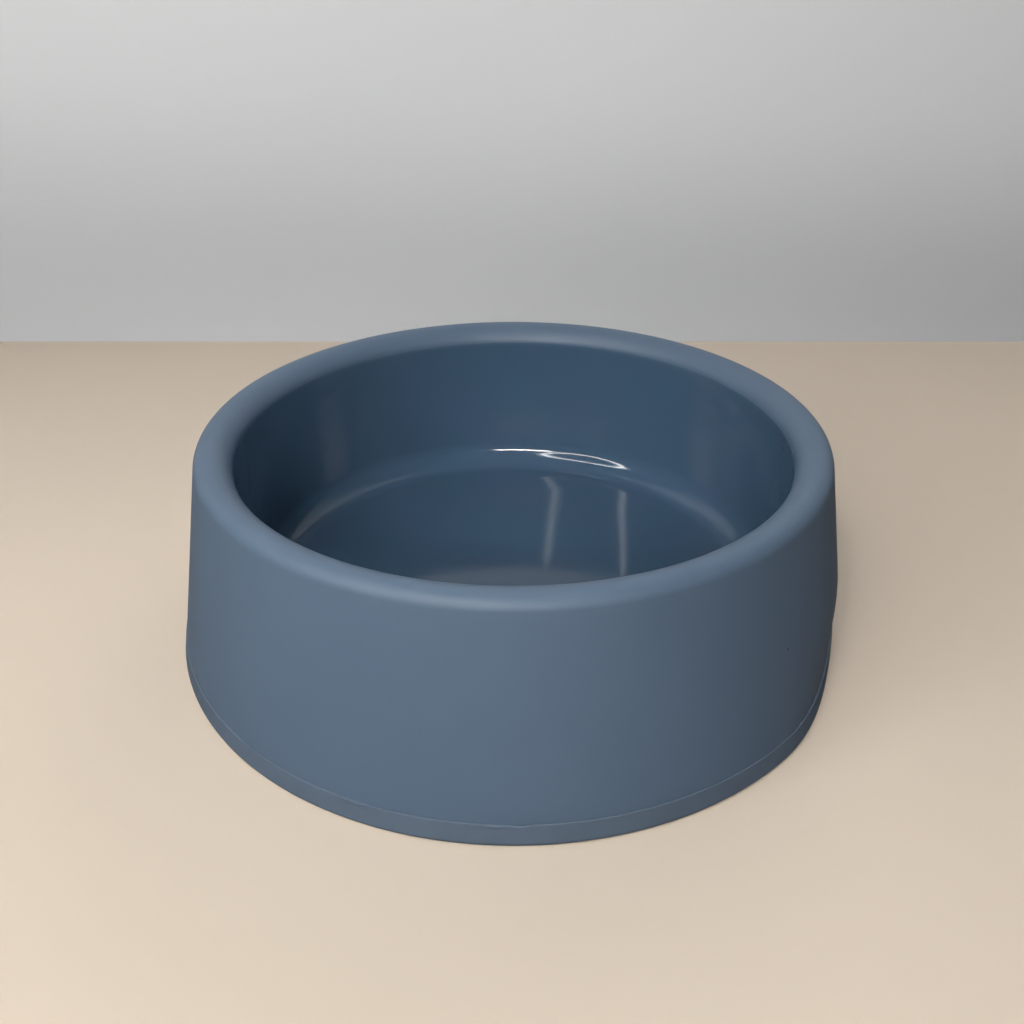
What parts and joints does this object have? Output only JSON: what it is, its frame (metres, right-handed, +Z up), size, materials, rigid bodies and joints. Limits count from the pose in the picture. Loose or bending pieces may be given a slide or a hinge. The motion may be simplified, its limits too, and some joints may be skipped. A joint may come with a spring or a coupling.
{
  "type": "pet bowl",
  "caption": "Round pet bowl with a flared skirt, a fat rounded rim, a glossy inside and a soft non-slip ring round its foot.",
  "frame": {"origin": "on the ground under the middle of the bowl", "axes": "+Z up along the bowl's axis of turning; X and Y across it, with nothing to tell them apart but the ribs underneath"},
  "size_m": [0.2028, 0.2028, 0.0624],
  "materials": {
    "bowl_plastic": "blue-grey, finely textured matte outside and over the rim, glossy inside",
    "ring_rubber": "soft matte blue-grey, a little greyer than the bowl"
  },
  "bodies": {
    "root": {"bowl": "bowl_plastic", "non_slip_ring": "ring_rubber"}
  },
  "joints": []
}
